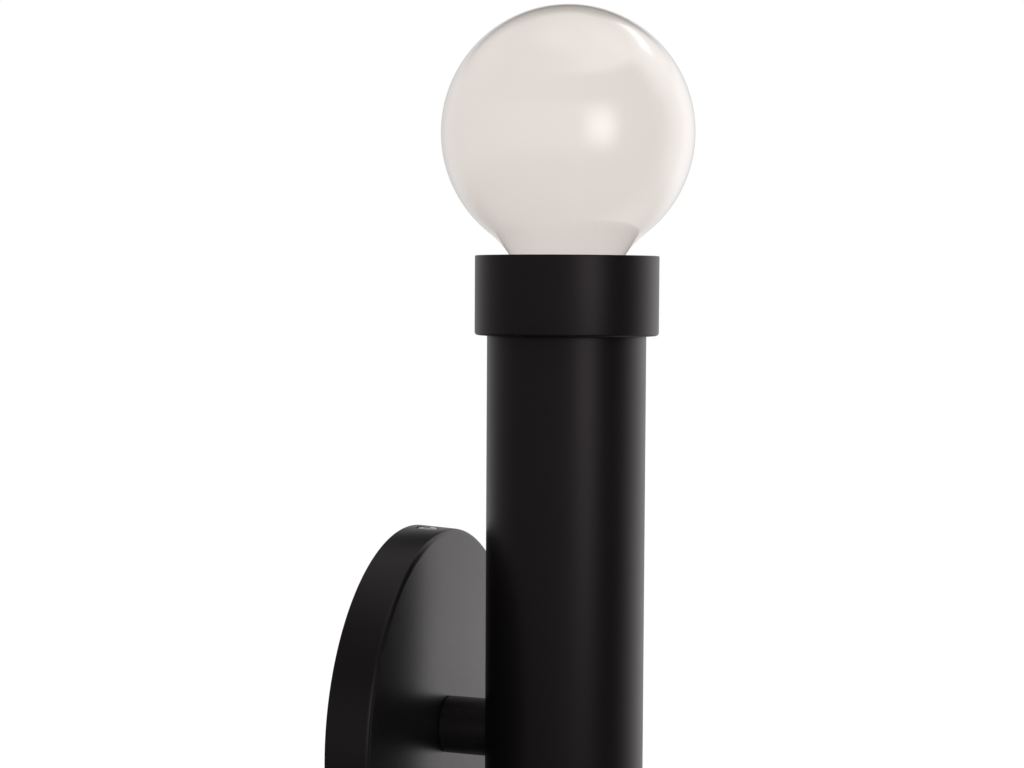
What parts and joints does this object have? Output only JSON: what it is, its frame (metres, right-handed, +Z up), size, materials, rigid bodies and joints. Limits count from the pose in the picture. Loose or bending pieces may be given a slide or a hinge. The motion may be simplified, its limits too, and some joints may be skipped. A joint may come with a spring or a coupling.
{
  "type": "tube wall light",
  "caption": "Wall light with a round canopy, a short stem and an upright tube whose wider collar holds an opal globe bulb.",
  "frame": {"origin": "centre of the canopy and of its wall box screws, on the wall's surface, in line with the stem", "axes": "+Z up along the tube, +Y into the wall, so the light stands out towards -Y, and +X to the right of someone facing the wall"},
  "size_m": [0.1274, 0.0932, 0.3132],
  "materials": {
    "satin_black": "satin black powder coat",
    "zinc_steel": "zinc-plated steel",
    "ground_green": "green lacquered steel",
    "holder_black": "moulded black plastic",
    "porcelain": "glazed white ceramic",
    "contact_brass": "bright brass",
    "lead_black": "black wire insulation",
    "lead_white": "white wire insulation",
    "wire_nut_orange": "moulded orange plastic",
    "opal_glass": "glossy opal glass",
    "clear_glass": "clear glass",
    "dark_glass": "dark moulded glass",
    "nickel": "nickel plate",
    "solder": "dull solder",
    "tungsten": "dark drawn wire"
  },
  "bodies": {
    "fixture": {"canopy": "satin_black", "wall_bracket": "zinc_steel", "canopy_screw_top": "zinc_steel", "canopy_screw_bottom": "zinc_steel", "ground_screw": "ground_green", "stem_sleeve": "satin_black", "stem_nipple": "zinc_steel", "hex_nut_canopy": "zinc_steel", "hex_nut_tube": "zinc_steel", "hex_nut_bridge": "zinc_steel", "lock_washer_canopy": "zinc_steel", "lock_washer_tube": "zinc_steel", "lock_washer_bridge": "zinc_steel", "saddle_washer": "zinc_steel", "nipple_bushing_canopy": "holder_black", "nipple_bushing_tube": "holder_black", "nipple_bushing_bridge": "holder_black", "main_tube": "satin_black", "bottom_cap": "satin_black", "collar": "satin_black", "retaining_ring": "holder_black", "socket_bridge": "zinc_steel", "lampholder_nipple": "zinc_steel", "lampholder_cap": "holder_black", "lampholder_skirt": "holder_black", "lampholder_insulator": "porcelain", "terminal_screw_live": "contact_brass", "terminal_screw_neutral": "contact_brass", "screw_contact": "contact_brass", "centre_contact": "contact_brass", "lead_live": "lead_black", "lead_neutral": "lead_white", "wire_nut_live": "wire_nut_orange", "wire_nut_neutral": "wire_nut_orange"},
    "bulb_core": {"bulb_base_insulator": "dark_glass", "bulb_tip_contact": "solder"},
    "bulb": {"bulb_globe": "opal_glass", "bulb_screw_base": "nickel", "bulb_glass_stem": "clear_glass", "filament_support_left": "nickel", "filament_support_right": "nickel", "filament": "tungsten"}
  },
  "joints": [
    {"name": "bulb_rise", "type": "slide", "parent": "fixture", "child": "bulb_core", "axis": [0, 0, 1], "range_m": [0, 0.0218]},
    {"name": "bulb_turn", "type": "hinge", "parent": "bulb_core", "child": "bulb", "pos_m": [0, -0.0535, 0.125], "axis": [0, 0, 1], "range_deg": [0, 2160]}
  ],
  "couplings": [
    {"joint": "bulb_rise", "follows": "bulb_turn", "m_per_rad": 0.0005775}
  ]
}
